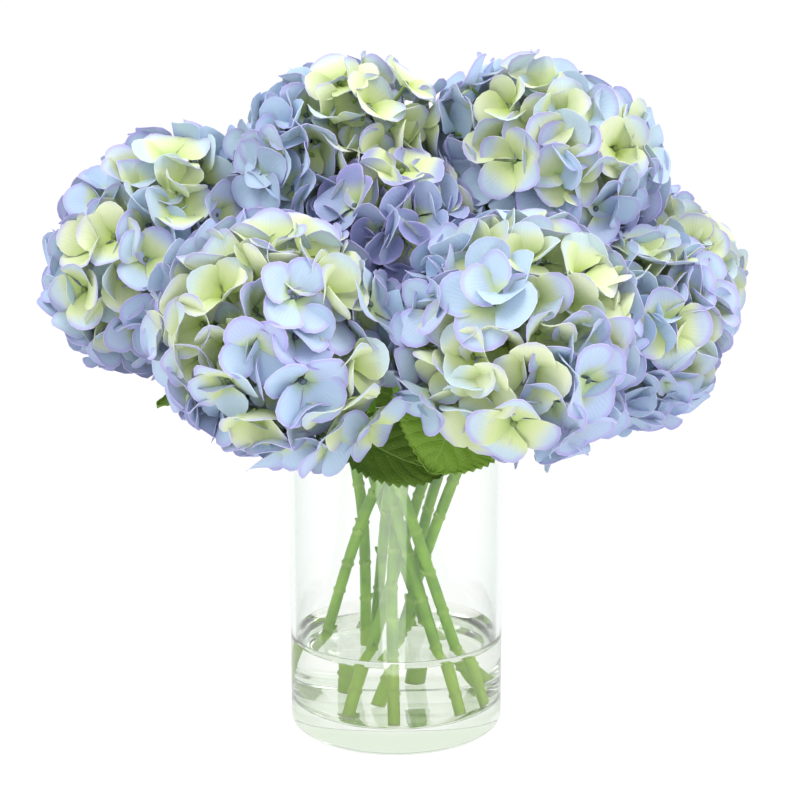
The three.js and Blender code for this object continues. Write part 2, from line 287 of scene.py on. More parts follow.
def dye(red, green, blue):
    """A colour as a screen shows it (0 to 255), as the light values that a shader needs."""
    shares = [c / 255 for c in (red, green, blue)]
    return tuple(c / 12.92 if c <= 0.04045 else ((c + 0.055) / 1.055) ** 2.4 for c in shares)


print("sky blue as light:", [round(c, 2) for c in dye(168, 190, 226)])

# %% [markdown]
# Meshes in this lesson are written straight from lists of points and faces. One helper makes an object of
# them, with an optional UV map that says where on a petal or a leaf each point lies. The object stays at the
# origin.

# %% Mesh helper
def mesh_object(name, points, faces, uv=None, smooth=True):
    mesh = bpy.data.meshes.new(name)
    mesh.from_pydata([tuple(p) for p in points], [], faces)
    if uv is not None:
        made = mesh.uv_layers.new(name="place")
        corners = np.empty(len(mesh.loops), dtype=np.int32)
        mesh.loops.foreach_get("vertex_index", corners)
        made.data.foreach_set("uv", np.asarray(uv, dtype=np.float32)[corners].ravel())
    mesh.polygons.foreach_set("use_smooth", [smooth] * len(mesh.polygons))
    mesh.update()
    return bpy.data.objects.new(name, mesh)


def smoothstep(value):
    value = np.clip(value, 0, 1)
    return value * value * (3 - 2 * value)


print("a soft step, a quarter of the way along:", round(float(smoothstep(0.25)), 3))

# %% [markdown]
# A petal is a broad, nearly round piece of cloth with a narrow foot. It is cupped across, bends along its
# length and has a soft wave at the edge. A square grid is pressed into a disc, which gives even faces and a
# smooth edge, and the disc is then bent into the petal. The cloth is 0.28 mm thick, and its cut edge is a
# face of its own.

# %% One petal
PETAL_CLOTH = 0.28
SPINE_STEPS = 40


def petal_sheet(cells, length, width, rise, bend, cup, wave, phase):
    """Points of one petal in mm: x outwards, y across, z up. Also each point's place in the disc, -1 to 1."""
    steps = np.linspace(-1, 1, cells + 1)
    a, b = np.meshgrid(steps, steps, indexing="ij")
    along = a * np.sqrt(1 - b * b / 2)
    across = b * np.sqrt(1 - a * a / 2)
    share = (along + 1) / 2
    spine = np.linspace(0, 1, SPINE_STEPS + 1)
    slope = rise + bend * (spine - 0.35)
    run = np.concatenate([[0], np.cumsum(np.cos(slope[1:]))]) * length / SPINE_STEPS
    height = np.concatenate([[0], np.cumsum(np.sin(slope[1:]))]) * length / SPINE_STEPS
    waist = 0.3 + 0.7 * smoothstep(share / 0.42)
    side = width / 2 * across * waist
    angle = np.arctan2(across, along)
    lift = cup * (across * waist) ** 2 * width / 2
    lift += wave * np.sin(3 * angle + phase) * (along**2 + across**2) ** 1.5
    local = np.interp(share, spine, slope)
    x = np.interp(share, spine, run) - np.sin(local) * lift
    z = np.interp(share, spine, height) + np.cos(local) * lift
    return np.stack([x, side, z], axis=-1), np.stack([across, along], axis=-1)


def grid_faces(rows, columns, first=0):
    """The four-cornered faces of a grid of points, whose numbers start at `first`."""
    step = columns + 1
    corners = [first + i * step + j for i in range(rows) for j in range(columns)]
    return [(a, a + step, a + step + 1, a + 1) for a in corners]


def edge_loop(rows, columns):
    """The numbers of the points round the edge of a grid."""
    step = columns + 1
    loop = [i * step for i in range(rows)]
    loop += [rows * step + j for j in range(columns)]
    loop += [i * step + columns for i in range(rows, 0, -1)]
    loop += list(range(columns, 0, -1))
    return loop


def cloth_solid(sheet, thickness):
    """Both sides of a sheet and the cut edge between them, as points and faces."""
    rows, columns = sheet.shape[0] - 1, sheet.shape[1] - 1
    normal = np.cross(np.gradient(sheet, axis=0), np.gradient(sheet, axis=1))
    normal /= np.linalg.norm(normal, axis=-1, keepdims=True) + 1e-9
    upper = (sheet + normal * thickness / 2).reshape(-1, 3)
    lower = (sheet - normal * thickness / 2).reshape(-1, 3)
    count = len(upper)
    faces = grid_faces(rows, columns)
    faces += [face[::-1] for face in grid_faces(rows, columns, count)]
    loop = edge_loop(rows, columns)
    for here, after in zip(loop, loop[1:] + loop[:1]):
        faces.append((here + count, after + count, after, here))
    return np.concatenate([upper, lower]), faces


print("petal cloth in mm:", PETAL_CLOTH)

# %% [markdown]
# Four petals round a small button make a floret. No two florets of a real head are alike: some lie open, some
# are half shut and press against their neighbours. Twelve different florets are made, from open to nearly
# shut, and each is used many times, turned and tilted. A coarse copy of each serves to test how florets fit
# together.

# %% Twelve florets
CELLS = 4
FLORET_KINDS = 12


def petal_habits(kind):
    """The four petals' shapes of one kind of floret; the last kinds are the nearly shut ones. Lengths, widths
    and waves are in millimetres, and the rise and the bend are angles in radians."""
    luck = random.Random(700 + kind)
    shut = kind / (FLORET_KINDS - 1)
    habits = []
    for k in range(4):
        habits.append({
            "turn": math.radians(90 * k + luck.uniform(-12, 12)),
            "roll": math.radians(luck.uniform(-22, 22)),
            "foot": 1.0 + 0.5 * (k % 2),
            "length": luck.uniform(21.5, 26) * (1 - 0.08 * shut),
            "width": luck.uniform(22.5, 27.5) * (1 - 0.1 * shut),
            "rise": math.radians(luck.uniform(-4, 26) + 30 * shut + 5 * (k % 2)),
            "bend": luck.uniform(-0.75, 0.5) + 0.2 * shut,
            "cup": luck.uniform(0.04, 0.26) + 0.12 * shut,
            "wave": luck.uniform(0.6, 1.7),
            "phase": luck.uniform(0, 6.28),
        })
    return habits


def turned_by(angle, first, second):
    """Two coordinates turned about the axis of the third."""
    ahead = first * math.cos(angle) - second * math.sin(angle)
    return ahead, first * math.sin(angle) + second * math.cos(angle)


def floret_petals(kind, cells):
    for habit in petal_habits(kind):
        shape = {key: habit[key] for key in ("length", "width", "rise", "bend", "cup", "wave", "phase")}
        sheet, disc = petal_sheet(cells, **shape)
        y, z = turned_by(habit["roll"], sheet[..., 1], sheet[..., 2])
        x, y = turned_by(habit["turn"], sheet[..., 0] + habit["foot"], y)
        yield np.stack([x, y, z], -1), disc


def floret_object(kind):
    """One floret, with a tone for each petal and a sharp edge where a petal's cut edge begins."""
    points, faces, uv, tones = [], [], [], []
    luck = random.Random(900 + kind)
    for sheet, disc in floret_petals(kind, CELLS):
        solid, solid_faces = cloth_solid(sheet, PETAL_CLOTH)
        first = sum(len(p) for p in points)
        points.append(solid * MM)
        faces += [tuple(i + first for i in face) for face in solid_faces]
        side = disc.reshape(-1, 2) * 0.5 + 0.5
        uv.append(np.concatenate([side, side]))
        tones += [luck.random()] * len(solid)
    made = mesh_object(f"floret_{kind:02d}", np.concatenate(points), faces, np.concatenate(uv))
    tone = made.data.attributes.new("tone", "FLOAT", "POINT")
    tone.data.foreach_set("value", tones)
    sharp = made.data.attributes.new("sharp_edge", "BOOLEAN", "EDGE")
    half = (CELLS + 1) ** 2
    for index, edge in enumerate(made.data.edges):
        low, high = edge.vertices
        same_side = (low % (2 * half) < half) == (high % (2 * half) < half)
        on_rim = all(np.linalg.norm(disc.reshape(-1, 2)[v % half]) > 0.99 for v in edge.vertices)
        sharp.data[index].value = same_side and on_rim
    return made


shapes = bpy.data.collections.new("floret shapes")
bpy.context.scene.collection.children.link(shapes)
for kind in range(FLORET_KINDS):
    shapes.objects.link(floret_object(kind))

# %% [markdown]
# Each floret's button is a tiny bead in the middle of its petals. At 3.8 mm across, few faces are enough.

# %% The button
BUTTON_RADIUS = 1.9
BUTTON_HEIGHT = 2.8


def bead(name, radius, height, around=8, levels=4):
    """A flattened bead that stands on the origin."""
    points = [(0, 0, height)]
    for level in range(1, levels):
        angle = math.pi * level / levels
        ring = radius * math.sin(angle)
        for k in range(around):
            turn = 2 * math.pi * k / around
            z = height / 2 + height / 2 * math.cos(angle)
            points.append((ring * math.cos(turn), ring * math.sin(turn), z))
    points.append((0, 0, 0))
    faces = [(0, 1 + k, 1 + (k + 1) % around) for k in range(around)]
    for level in range(levels - 2):
        a, b = 1 + level * around, 1 + (level + 1) * around
        faces += [(a + k, b + k, b + (k + 1) % around, a + (k + 1) % around) for k in range(around)]
    last = 1 + (levels - 2) * around
    end = len(points) - 1
    faces += [(last + (k + 1) % around, last + k, end) for k in range(around)]
    return mesh_object(name, points, faces)


beads = bpy.data.collections.new("button shapes")
bpy.context.scene.collection.children.link(beads)
beads.objects.link(bead("button", BUTTON_RADIUS * MM, BUTTON_HEIGHT * MM))

# %% [markdown]
# Now the florets find their places. Their feet are spread over each head like the seeds of a sunflower, with
# an inner, smaller and greener layer between them that closes the gaps, as on the real thing. Where two heads
# press together, florets that would stand in the other head are left out, and so are those that would stand
# in the vase or hide the two leaves in front. Sizes are in millimetres, and `MM` turns them into Blender's
# metres. Only `LEAF_WINDOW`, which is a place, is written in metres.

# %% Places for the florets
OUTER_FLORETS = 94
INNER_FLORETS = 46
OVERLAP = 7 * MM
GOLDEN = math.pi * (3 - math.sqrt(5))
VASE_RADIUS = 63.5
VASE_HEIGHT = 180
LEAF_WINDOW = Vector((0.024, -0.098, 0.181))
LEAF_WINDOW_RADIUS = 27 * MM


def spread(count, reach, shift=0.0):
    """Directions spread evenly over a cap about +Z."""
    for i in range(count):
        z = 1 - (i + 0.5) / count * (1 - math.cos(reach))
        ring = math.sqrt(1 - z * z)
        turn = i * GOLDEN + shift
        yield Vector((ring * math.cos(turn), ring * math.sin(turn), z))


def in_another_head(point, head):
    """True well past the plane where two balls of petals meet."""
    for other in HEADS:
        if other is head:
            continue
        gap = centre_of(other) - centre_of(head)
        reach = (head["radius"] ** 2 - other["radius"] ** 2) * MM * MM
        share = (gap.length_squared + reach) / (2 * gap.length)
        if gap.length < (head["radius"] + other["radius"]) * MM:
            if (point - centre_of(head)).dot(gap.normalized()) > share + OVERLAP:
                return True
    return False


def in_the_vase(point):
    """True in the glass and in a jacket of air round it, 10 mm above the lip and 5 mm at the side."""
    low_enough = point.z < (VASE_HEIGHT + 10) * MM
    return low_enough and math.hypot(point.x, point.y) < (VASE_RADIUS + 5) * MM


def hides_the_leaves(point):
    """True low between the two front heads, where leaves hang out over the rim."""
    return (point - LEAF_WINDOW).length < LEAF_WINDOW_RADIUS


def paleness(head, way):
    """From 1 inside one of the head's pale places to 0 well away from all of them."""
    inside = [size - math.degrees(way.angle(Vector(side))) for *side, size in head["pale"]]
    return float(smoothstep((max(inside) + 18) / 24))


print("places on a head:", OUTER_FLORETS, "outer and", INNER_FLORETS, "inner")

# %% [markdown]
# Cloth petals push each other aside, and here a search stands in for that. At every place a floret tries some
# turns, tilts and kinds. Each time its coarse copy is drawn in until no petal stands out of the head, and the
# faces that cross those of its neighbours are counted. The pose with the fewest crossings is kept.

# %% Trying a floret
COARSE_CELLS = 3
DRAW_IN = 16 * MM

coarse = []
for kind in range(FLORET_KINDS):
    parts = [sheet.reshape(-1, 3) * MM for sheet, _ in floret_petals(kind, COARSE_CELLS)]
    faces = [face for k in range(4) for face in grid_faces(COARSE_CELLS, COARSE_CELLS, len(parts[0]) * k)]
    coarse.append((np.concatenate(parts), faces))
print("coarse copies:", len(coarse))


def settle(floret, head, way):
    """Draws a floret in until no petal stands out of its head, and keeps its coarse copy for the fit."""
    points, faces = coarse[floret["kind"]]
    turned = points @ (np.array(floret["spin"].to_matrix()) * floret["size"]).T
    from_centre = turned + np.array(floret["foot"] - centre_of(head))
    out = np.linalg.norm(from_centre, axis=1).max() - reach_of(head, way) * MM
    floret["foot"] = floret["foot"] - way * min(max(out - floret["proud"] * MM, 0), DRAW_IN)
    floret["tree"] = BVHTree.FromPolygons((turned + np.array(floret["foot"])).tolist(), faces)


def try_floret(head, way, layer, radius, luck):
    """One pose for a floret: where its foot is, how it is turned, its kind and its size."""
    lean = luck.uniform(0, 0.6) if luck.random() < 0.78 else luck.uniform(0.5, 1.0)
    tilt = Quaternion((luck.gauss(0, 1), luck.gauss(0, 1), luck.gauss(0, 1)), lean)
    normal = tilt @ way
    spin = UP.rotation_difference(normal) @ Quaternion(UP, luck.uniform(0, math.tau))
    kind = min(FLORET_KINDS - 1, int(FLORET_KINDS * luck.random() ** 0.9))
    size = luck.uniform(0.92, 1.08)
    depth = 6 + 7 * kind / FLORET_KINDS + luck.uniform(0, 7)
    if layer == "inner":
        kind = luck.randrange(6, FLORET_KINDS)
        size = luck.uniform(0.66, 0.84)
        depth = 25 + luck.uniform(0, 11)
    foot = centre_of(head) + way * (radius - depth) * MM
    pose = {"foot": foot, "spin": spin, "kind": kind, "size": size, "normal": normal}
    pose["proud"] = luck.uniform(-5, 1)
    return pose


# %% [markdown]
# With places and poses in hand, the heads are filled one after the other. A floret in a pale place is dyed
# green and cream, the inner ones are mostly green, and a little luck keeps neighbours from being dyed alike.

# %% Filling the heads
TRIES = 24
NEARBY = 56 * MM
placed = []


def cuts(tree, foot):
    near = [other for other in placed if (other["foot"] - foot).length < NEARBY]
    return sum(len(tree.overlap(other["tree"])) for other in near)


for head in HEADS:
    aim = UP.rotation_difference(axis_of(head))
    luck = random.Random(head["name"])
    layers = [("outer", way) for way in spread(OUTER_FLORETS, COVER)]
    layers += [("inner", way) for way in spread(INNER_FLORETS, COVER * 0.9, 1.3)]
    for layer, way in layers:
        wobble = Vector((luck.gauss(0, 0.05), luck.gauss(0, 0.05), luck.gauss(0, 0.05)))
        way = (aim @ way + wobble).normalized()
        edge = centre_of(head) + way * (reach_of(head, way) - 12) * MM
        if in_another_head(edge, head) or in_the_vase(edge) or hides_the_leaves(edge):
            continue
        choices = [try_floret(head, way, layer, reach_of(head, way), luck) for _ in range(TRIES)]
        for choice in choices:
            settle(choice, head, way)
            choice["score"] = cuts(choice["tree"], choice["foot"]) + luck.random()
        best = min(choices, key=lambda choice: choice["score"])
        pale = paleness(head, way) * 0.85 + 0.12 + luck.gauss(0, 0.13)
        if layer == "inner":
            pale = 0.75 + luck.gauss(0, 0.15)
        best.update(head=head["name"], tint=min(max(pale, 0), 1), violet=head["violet"], luck=luck.random())
        placed.append(best)
print("florets:", len(placed), " worst fit:", round(max(f["score"] for f in placed)))

# %% [markdown]
# Geometry Nodes trees make all that repeats. A tree is started with named inputs, gets its nodes one by one,
# and ends by making the copies real and giving them their finish, because only plain meshes leave Blender.
# `made_by` runs a tree on a source mesh and keeps the result as a plain object.

# %% Tree helpers
def new_tree(name, sockets):
    tree = bpy.data.node_groups.new(name, "GeometryNodeTree")
    tree.interface.new_socket("Geometry", in_out="INPUT", socket_type="NodeSocketGeometry")
    for label, kind in sockets:
        tree.interface.new_socket(label, in_out="INPUT", socket_type="NodeSocket" + kind)
    tree.interface.new_socket("Geometry", in_out="OUTPUT", socket_type="NodeSocketGeometry")
    return tree


def add(tree, kind, settings=None, **inputs):
    node = tree.nodes.new(kind)
    for key, value in (settings or {}).items():
        setattr(node, key, value)
    for key, value in inputs.items():
        socket = node.inputs[key.replace("_", " ")]
        if isinstance(value, bpy.types.NodeSocket):
            tree.links.new(value, socket)
        else:
            socket.default_value = value
    return node


def named(tree, name, kind):
    return add(tree, "GeometryNodeInputNamedAttribute", {"data_type": kind}, Name=name).outputs[0]


def finish_tree(tree, geometry, material):
    real = add(tree, "GeometryNodeRealizeInstances", Geometry=geometry)
    dressed = add(tree, "GeometryNodeSetMaterial", Geometry=real.outputs[0], Material=material)
    out = tree.nodes.new("NodeGroupOutput")
    tree.links.new(dressed.outputs[0], out.inputs[0])


def made_by(tree, name, source, **inputs):
    """Runs a tree on a source mesh and returns the result as a plain object of the given name."""
    bpy.context.scene.collection.objects.link(source)
    modifier = source.modifiers.new("make", "NODES")
    modifier.node_group = tree
    labels = {item.name: item.identifier for item in tree.interface.items_tree if item.in_out == "INPUT"}
    for label, value in inputs.items():
        modifier[labels[label.replace("_", " ")]] = value
    source.update_tag()
    depsgraph = bpy.context.evaluated_depsgraph_get()
    mesh = bpy.data.meshes.new_from_object(source.evaluated_get(depsgraph), depsgraph=depsgraph)
    bpy.data.objects.remove(source)
    mesh.name = name
    made = bpy.data.objects.new(name, mesh)
    bpy.context.collection.objects.link(made)
    return made


# %% [markdown]
# The first tree sets one shape on every point. Each point carries the turn, the size and the kind of its
# floret as attributes, and its dye travels with the cloth for the material to read.

# %% Tree: shapes on points
setting = new_tree("shapes on points", [("Shapes", "Collection"), ("Size", "Float"), ("Finish", "Material")])
given = setting.nodes.new("NodeGroupInput").outputs
shape_info = add(setting, "GeometryNodeCollectionInfo", Collection=given["Shapes"])
shape_info.inputs["Separate Children"].default_value = True
shape_info.inputs["Reset Children"].default_value = True
turn = add(setting, "FunctionNodeEulerToRotation", Euler=named(setting, "turn", "FLOAT_VECTOR"))
scale = add(setting, "ShaderNodeMath", {"operation": "MULTIPLY"})
setting.links.new(named(setting, "size", "FLOAT"), scale.inputs[0])
setting.links.new(given["Size"], scale.inputs[1])
set_on = add(
    setting, "GeometryNodeInstanceOnPoints", Points=given["Geometry"], Instance=shape_info.outputs[0],
    Pick_Instance=True, Instance_Index=named(setting, "kind", "INT"), Rotation=turn.outputs[0],
    Scale=scale.outputs[0],
)
finish_tree(setting, set_on.outputs[0], given["Finish"])
print("nodes in the tree:", len(setting.nodes))


def floret_points(florets, single=False):
    """A mesh of loose points that carry all that the tree needs to know of each floret. With `single` there is
    one shape for all of them."""
    mesh = bpy.data.meshes.new("points")
    mesh.from_pydata([tuple(f["foot"]) for f in florets], [], [])
    facts = {
        "turn": ("FLOAT_VECTOR", [c for f in florets for c in f["spin"].to_euler()]),
        "size": ("FLOAT", [f["size"] for f in florets]),
        "kind": ("INT", [0 if single else f["kind"] for f in florets]),
        "tint": ("FLOAT", [f["tint"] for f in florets]),
        "violet": ("FLOAT", [f["violet"] for f in florets]),
        "luck": ("FLOAT", [f["luck"] for f in florets]),
    }
    for key, (kind, values) in facts.items():
        layer = mesh.attributes.new(key, kind, "POINT")
        layer.data.foreach_set("vector" if kind == "FLOAT_VECTOR" else "value", values)
    return bpy.data.objects.new("points", mesh)


# %% [markdown]
# Petal cloth. Young petals are yellow-green at the foot and cream in the middle, and pale blue only at the
# tip. In older ones the blue reaches down to the foot, leans to lilac, and has a violet rim. In the centre
# head, which sits deep between the others, the lilac is also darkened: painted shade. All of this is mixed
# from numbers that ride with the cloth (how young, how violet and shaded, the luck of the floret, a tone for
# each petal) and from the place on the petal. Fine veins fan out from the foot, both as colour and as bump.

# %% Petal cloth
def petal_cloth():
    cloth = Finish("petal_cloth")
    across, length = cloth.on_sheet()
    side = across * 2.0 - 1.0
    up = length * 2.0 - 1.0
    from_middle = cloth.maths("SQRT", side * side + up * up)
    tint, violet, tone = (cloth.attribute(name) for name in ("tint", "violet", "tone"))
    luck = cloth.attribute("luck")
    clouds = cloth.noise(55.0, 3.0)
    sky = cloth.mix(clouds, dye(176, 205, 236), dye(197, 221, 244))
    sky = cloth.mix(tint, sky, dye(206, 226, 229))
    lilac_and_shade = cloth.mix(tone, dye(178, 187, 231), dye(193, 196, 238))
    # Painted shade: a high violet number, only in the centre head, darkens the lilac deep between the heads.
    lilac_and_shade = cloth.mix(cloth.between(violet, 0.55, 0.95) * 0.75, lilac_and_shade, dye(116, 126, 186))
    blue = cloth.mix(cloth.between(violet + tone * 0.5 + luck * 0.4, 0.5, 1.65), sky, lilac_and_shade)
    rim = cloth.between(from_middle, 0.7, 1.0) * cloth.between(luck + tone, 0.2, 1.2)
    blue = cloth.mix(rim * 0.85, blue, dye(177, 161, 230))
    young = cloth.mix(length + clouds * 0.3, dye(188, 212, 98), dye(232, 239, 202))
    reach = tint * 0.74 + tone * 0.35 - 0.14
    share = cloth.between(length + clouds * 0.3, reach + 0.42, reach + 0.02)
    body = cloth.mix(share, blue, young)
    foot = cloth.between(length, 0.34, 0.02)
    green = cloth.mix(tint, dye(164, 196, 176), dye(184, 208, 84))
    body = cloth.mix(foot * 0.75, body, green)
    fan = cloth.maths("ARCTAN2", side, length + 0.35)
    ribs = cloth.maths("SINE", fan * 38.0 + cloth.noise(30.0) * 5.0)
    veins = ribs * (1.0 - from_middle * 0.7)
    body = cloth.mix(cloth.between(veins, 0.2, 1.0) * 0.18, body, dye(246, 248, 250))
    cut = cloth.between(from_middle, 0.93, 1.0)
    body = cloth.mix(cut * 0.35, body, dye(240, 243, 248))
    weave = cloth.noise(2600.0, 2.0)
    cloth.surface(
        Base_Color=body, Roughness=0.72, Specular_IOR_Level=0.3, Sheen_Weight=0.15, Sheen_Roughness=0.5,
        Normal=cloth.bump(veins * 0.35 + weave * 0.3, 0.0003, 0.4),
    )
    cloth.let_through(0.3, (0.86, 0.88, 0.90))
    return cloth.material


CLOTH_FINISH = petal_cloth()
print("nodes in the petal cloth:", len(CLOTH_FINISH.node_tree.nodes))

# %% [markdown]
# Buttons are painted beads: blue-grey in the blue florets and green in the pale ones.

# %% Button paint
def button_paint():
    paint = Finish("button_paint")
    tint = paint.attribute("tint")
    shade = paint.noise(900.0)
    colour = paint.mix(paint.between(tint, 0.2, 0.7), dye(84, 98, 118), dye(116, 138, 72))
    colour = paint.mix(shade * 0.5, colour, dye(52, 66, 56))
    paint.surface(Base_Color=colour, Roughness=0.55, Normal=paint.bump(shade, 0.0003))
    return paint.material


BUTTON_FINISH = button_paint()
print("nodes in the button paint:", len(BUTTON_FINISH.node_tree.nodes))

# %% [markdown]
# Now every head gets its petals and its buttons, each as one plain mesh. The sample shapes have then done
# their work and are thrown away.

# %% Petals and buttons
for head in HEADS:
    name = head["name"]
    florets = [f for f in placed if f["head"] == name]
    petals = made_by(
        setting, "petals_" + name, floret_points(florets), Shapes=shapes, Size=1.0, Finish=CLOTH_FINISH,
    )
    buttons = made_by(
        setting, "buttons_" + name, floret_points(florets, True), Shapes=beads, Size=1.0,
        Finish=BUTTON_FINISH,
    )
    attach(petals, "root")
    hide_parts("florets_" + name)
    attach(buttons, "root")
    print(name, "florets:", len(florets), "faces:", len(petals.data.polygons))
for collection in (shapes, beads):
    for shape in list(collection.objects):
        bpy.data.objects.remove(shape)
    bpy.data.collections.remove(collection)

# %% [markdown]
# Stems and stalks are rods that follow a path. The frame already holds every stem's place, so its middle line
# is read from the frame's own mesh: the mesh is cut at many heights, and the middle of each cut is a point of
# it. The cuts stop short of both ends. There the line is carried straight on to the end's face, which is
# square to the stem, so that the more a stem leans, the further its middle ends from its rim: `END_RIM`
# stands for that.

# %% Middle lines of the stems
END_RIM = 2.2 * MM


def middle_line(node, count=40, inset=4 * MM):
    """Points along the middle of a node that stands up, from its foot to its top."""
    mesh = node.data
    mesh.calc_loop_triangles()
    points = np.array([node.matrix_world @ v.co for v in mesh.vertices])
    corners = points[np.array([t.vertices[:] for t in mesh.loop_triangles])]
    low, high = points[:, 2].min() + inset, points[:, 2].max() - inset
    line = []
    for height in np.linspace(low, high, count):
        ends = []
        for a, b in ((0, 1), (1, 2), (2, 0)):
            p, q = corners[:, a], corners[:, b]
            crossed = (p[:, 2] > height) != (q[:, 2] > height)
            share = (height - p[:, 2]) / np.where(crossed, q[:, 2] - p[:, 2], 1)
            ends.append((crossed, p + (q - p) * share[:, None]))
        hit = ends[0][0] | ends[1][0] | ends[2][0]
        first = np.where(ends[0][0][:, None], ends[0][1], ends[1][1])[hit]
        last = np.where(ends[2][0][:, None], ends[2][1], ends[1][1])[hit]
        middle = (first + last).mean(axis=0) / 2
        area = np.linalg.norm(np.cross(first - middle, last - middle), axis=1)
        line.append(Vector(((first + last + middle) / 3 * area[:, None]).sum(axis=0) / area.sum()))
    for end, inner in ((0, 1), (-1, -2)):
        way = (line[end] - line[inner]).normalized()
        rise = abs(way.z)
        line[end] = line[end] + way * (inset - END_RIM * math.sqrt(1 - rise * rise)) / rise
    return line


def along_line(line, spacing):
    """Points every so far along a line, and how far along each lies."""
    lengths = np.concatenate([[0], np.cumsum([(b - a).length for a, b in zip(line, line[1:])])])
    places = np.linspace(0, lengths[-1], max(2, round(lengths[-1] / spacing)))
    rows = np.array(line)
    smooth = [Vector([np.interp(place, lengths, rows[:, k]) for k in range(3)]) for place in places]
    return smooth, places


stem_lines = {head["name"]: middle_line(frame["nodes"]["stem_" + head["name"]]) for head in HEADS}
print("stem lengths in mm:", [round(along_line(line, 2 * MM)[1][-1] / MM) for line in stem_lines.values()])

# %% [markdown]
# The moulded stems have a raised ring every two or three centimetres and, at some rings, the stub of a side
# shoot. A second tree turns paths into rods: the path is a row of edges, and each point's own thickness makes
# the rings and tapers. The stalks in the heads are made by the same tree.

# %% Tree: rods on paths
rods = new_tree("rods on paths", [("Sides", "Int"), ("Finish", "Material")])
given = rods.nodes.new("NodeGroupInput").outputs
path = add(rods, "GeometryNodeMeshToCurve", Mesh=given["Geometry"])
ring = add(rods, "GeometryNodeCurvePrimitiveCircle", Resolution=given["Sides"], Radius=1.0)
rod = add(
    rods, "GeometryNodeCurveToMesh", Curve=path.outputs[0], Profile_Curve=ring.outputs[0],
    Scale=named(rods, "thick", "FLOAT"), Fill_Caps=True,
)
finish_tree(rods, rod.outputs[0], given["Finish"])
print("nodes in the tree:", len(rods.nodes))


def path_object(paths):
    """Rows of (point, thickness, distance along, how much of a joint) as one mesh of edges."""
    points = [entry[0] for row in paths for entry in row]
    edges, first = [], 0
    for row in paths:
        edges += [(first + k, first + k + 1) for k in range(len(row) - 1)]
        first += len(row)
    mesh = bpy.data.meshes.new("paths")
    mesh.from_pydata([tuple(p) for p in points], edges, [])
    for key, index in (("thick", 1), ("along", 2), ("joint", 3)):
        layer = mesh.attributes.new(key, "FLOAT", "POINT")
        layer.data.foreach_set("value", [entry[index] for row in paths for entry in row])
    return bpy.data.objects.new("paths", mesh)


STEM_RADIUS = 3.35
STEM_STEP = 1.2 * MM
FIRST_RING = (12, 20)
RING_GAPS = (17, 29)
STUB_SHARE = 0.6


def stem_paths(line, luck):
    """The stem's own path and those of its stubs. The rings' places and the radii are in millimetres."""
    points, places = along_line(line, STEM_STEP)
    rings, place = [], luck.uniform(*FIRST_RING)
    while place < places[-1] / MM:
        rings.append(place)
        place += luck.uniform(*RING_GAPS)
    rows = []
    for point, place in zip(points, places):
        near = min(abs(place / MM - r) for r in rings)
        swell = 0.7 * math.exp(-((near / 0.9) ** 2)) - 0.2 * math.exp(-(((near - 2.4) / 1.2) ** 2))
        rows.append((point, (STEM_RADIUS + swell) * MM, place, math.exp(-((near / 1.3) ** 2))))
    paths = [rows]
    for r in rings[1:]:
        if luck.random() < STUB_SHARE:
            index = int(np.argmin(np.abs(places / MM - r)))
            way = (points[min(index + 2, len(points) - 1)] - points[index]).normalized()
            out = way.orthogonal().normalized()
            out.rotate(Quaternion(way, luck.uniform(0, math.tau)))
            start = points[index] + out * 2.2 * MM
            tip = points[index] + (out * 4.6 + way * 3.0) * MM
            stub = ((start, 1.8), ((start + tip) / 2, 1.4), (tip, 0.6))
            paths.append([(spot, radius * MM, places[index], 0.6) for spot, radius in stub])
    return paths


# %% [markdown]
# The stems are pale green plastic with a satin skin, darker in patches. The rings and stubs, which the mould
# rubs against, are paler, and so is the cut end that stands on the glass. Below the water line the green is
# brightened: painted light, for the lamp light that the glass and the resin keep from the stems.

# %% Stem and stalk finishes
def stem_plastic(name, light, dark, rough, wet):
    """Light and dark are the patches' dyes; wet is the share of painted light under the water line."""
    skin = Finish(name)
    patches = skin.noise(70.0, 3.0)
    streaks = skin.noise(420.0, 2.0)
    colour = skin.mix(skin.between(patches, 0.3, 0.7), dye(*light), dye(*dark))
    colour = skin.mix(streaks * 0.3, colour, dye(186, 206, 116))
    # Painted light brightens the green under the water line, for the lamp light that the glass keeps out.
    colour = skin.mix(skin.between(skin.height(), 0.054, 0.047) * wet, colour, dye(204, 250, 92))
    colour = skin.mix(skin.attribute("joint") * 0.35, colour, dye(196, 220, 122))
    colour = skin.mix(skin.between(skin.attribute("along"), 0.0012, 0.0004) * 0.7, colour, dye(206, 214, 150))
    skin.surface(
        Base_Color=colour, Roughness=rough, Normal=skin.bump(streaks + patches * 0.4, 0.0004, 0.35),
    )
    return skin.material


# The last number is how much painted light brightens the stems under the water line.
STEM_FINISH = stem_plastic("stem_plastic", (150, 212, 40), (108, 174, 12), 0.42, 0.85)
STALK_FINISH = stem_plastic("stalk_plastic", (140, 164, 84), (108, 136, 66), 0.6, 0.0)
for head in HEADS:
    name = head["name"]
    stem = made_by(
        rods, "stem_rod_" + name, path_object(stem_paths(stem_lines[name], random.Random("stem" + name))),
        Sides=14, Finish=STEM_FINISH,
    )
    stem.data.shade_smooth()
    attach(stem, "root")
    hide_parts("stem_" + name)
print("stems:", len(stem_lines))

# %% [markdown]
# Inside a head the stem ends in a fork. A stalk runs from it to the foot of every floret, first bundled with
# the others and then bending outwards, like the ribs of an umbrella.

# %% Stalk sprays
FORK = ((0.3, 3.3), (3.7, 4.3), (7.1, 4.6), (10.5, 2.4))
STALK_STEPS = 6


def bezier(start, first, second, end, t):
    """A point on the smooth curve from start to end that is drawn towards two others on its way."""
    early = start * (1 - t) ** 3 + first * 3 * t * (1 - t) ** 2
    return early + second * 3 * t * t * (1 - t) + end * t**3


